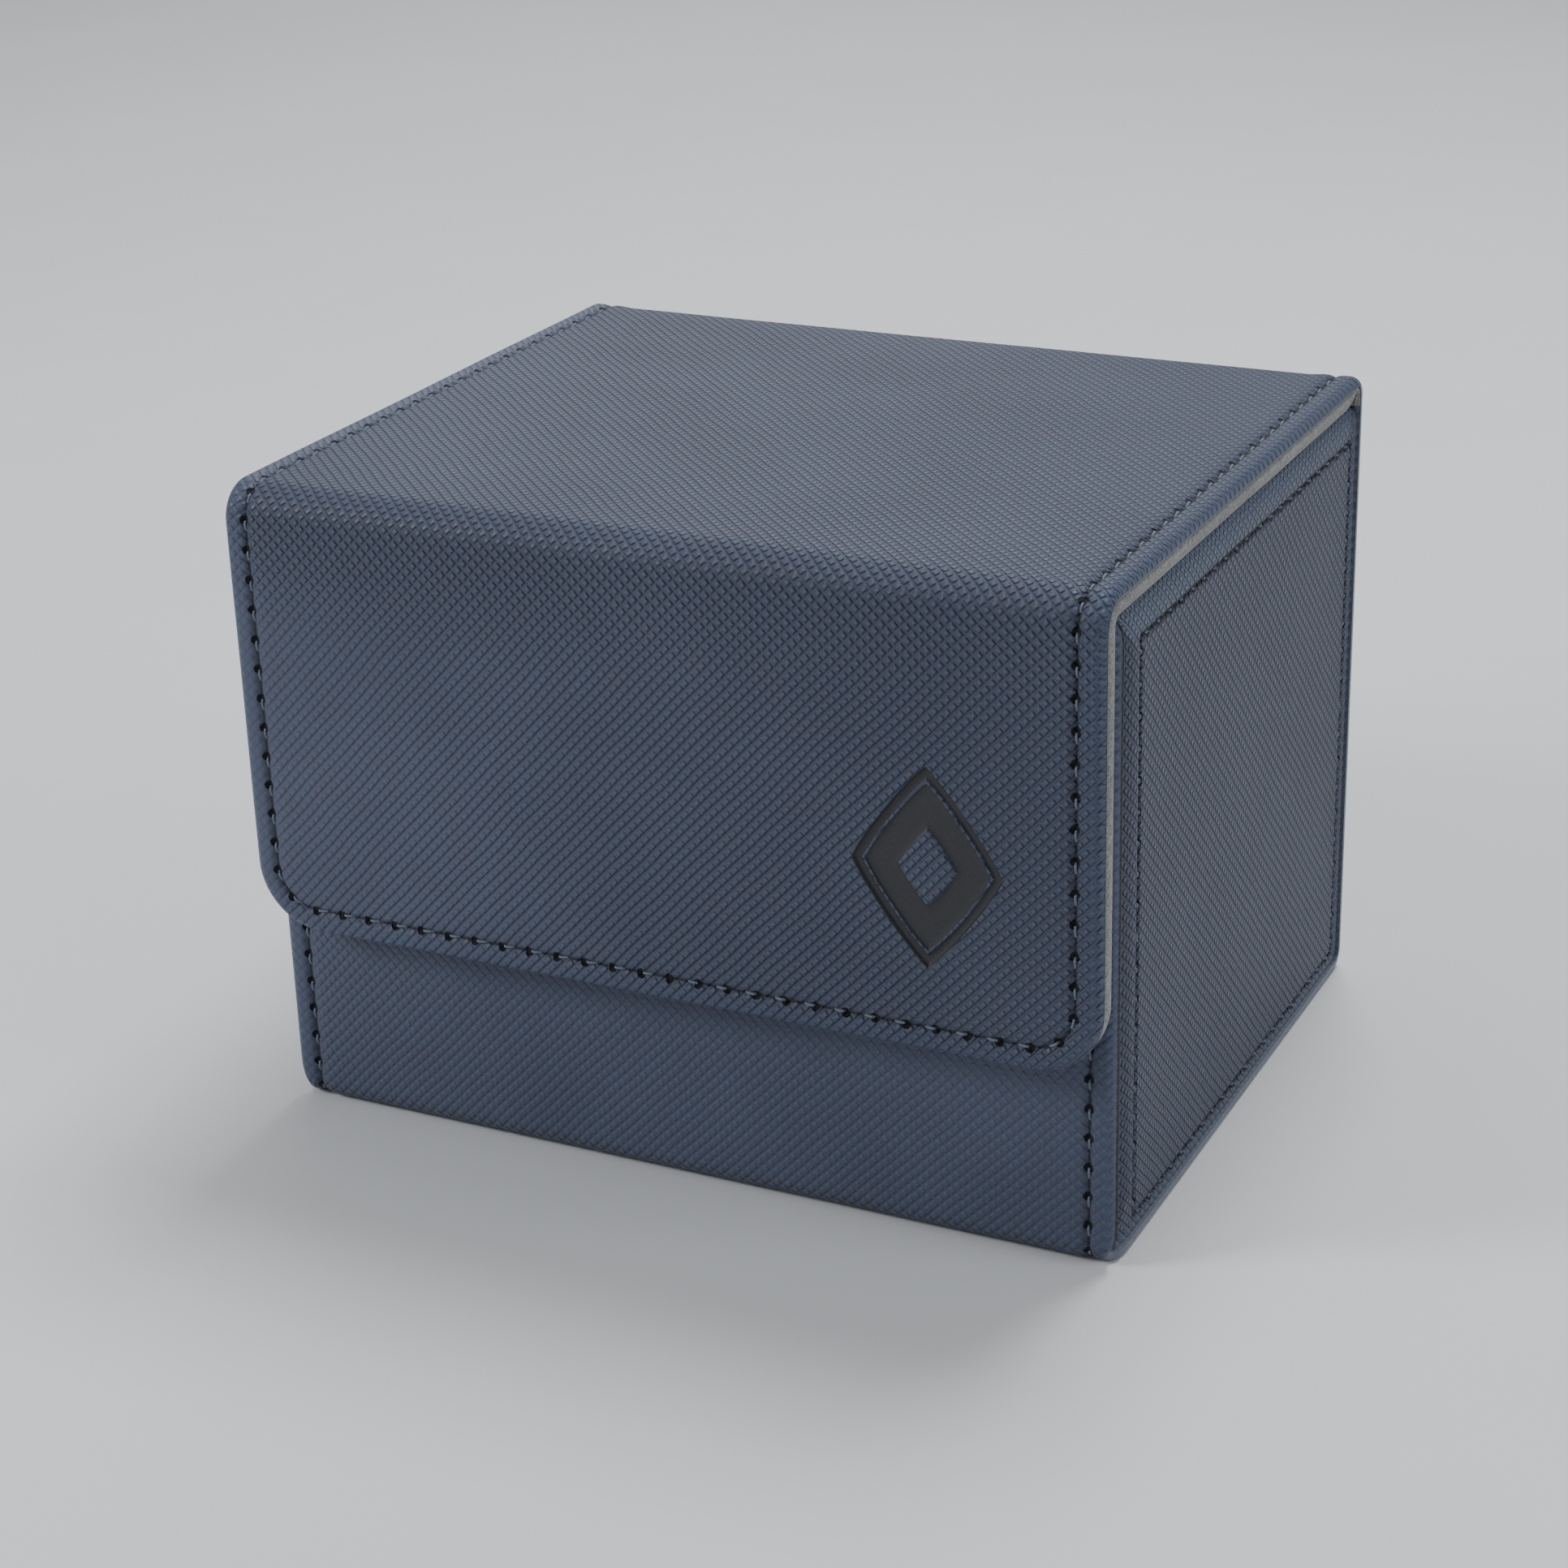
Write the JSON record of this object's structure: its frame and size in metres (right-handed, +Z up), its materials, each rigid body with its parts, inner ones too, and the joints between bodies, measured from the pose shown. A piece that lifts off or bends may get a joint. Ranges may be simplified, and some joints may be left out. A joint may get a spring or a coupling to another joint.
{
  "type": "card deck box",
  "caption": "Open-top leather-covered box for a deck of sleeved cards, with a soft-hinged lid and a magnetic front flap.",
  "frame": {"origin": "on the surface that the box stands on, under the middle of the whole closed box", "axes": "+X to the right across the flap, +Y from the flap to the rear hinge, +Z up"},
  "size_m": [0.106, 0.0886, 0.0795],
  "materials": {
    "leather": "matte navy synthetic leather, embossed with a fine diagonal cross-hatch",
    "lining": "short-napped light grey microfibre",
    "board": "plain grey bookbinding board",
    "thread": "satin blue-grey polyester thread",
    "magnet": "nickel plate",
    "emblem": "near-black hot-pressed leather"
  },
  "bodies": {
    "case": {"front_cover": "leather", "back_cover": "leather", "bottom_cover": "leather", "left_cover": "leather", "right_cover": "leather", "hinge_cover": "leather", "front_lining": "lining", "back_lining": "lining", "bottom_lining": "lining", "left_lining": "lining", "right_lining": "lining", "hinge_lining": "lining", "front_board": "board", "back_board": "board", "bottom_board": "board", "left_board": "board", "right_board": "board", "front_stitching": "thread", "back_stitching": "thread", "bottom_stitching": "thread", "left_stitching": "thread", "right_stitching": "thread", "front_magnets": "magnet"},
    "lid": {"lid_cover": "leather", "lid_board": "board", "lid_lining": "lining", "lid_stitching": "thread", "fold_cover": "leather", "fold_lining": "lining"},
    "flap": {"flap_cover": "leather", "flap_board": "board", "flap_lining": "lining", "flap_stitching": "thread", "flap_magnets": "magnet", "flap_emblem": "emblem"}
  },
  "joints": [
    {"name": "lid_hinge", "type": "hinge", "parent": "case", "child": "lid", "pos_m": [0, 0.0443, 0.0795], "axis": [-1, 0, 0], "range_deg": [0, 175]},
    {"name": "flap_fold", "type": "hinge", "parent": "lid", "child": "flap", "pos_m": [0, -0.0443, 0.0795], "axis": [-1, 0, 0], "range_deg": [0, 100]}
  ]
}
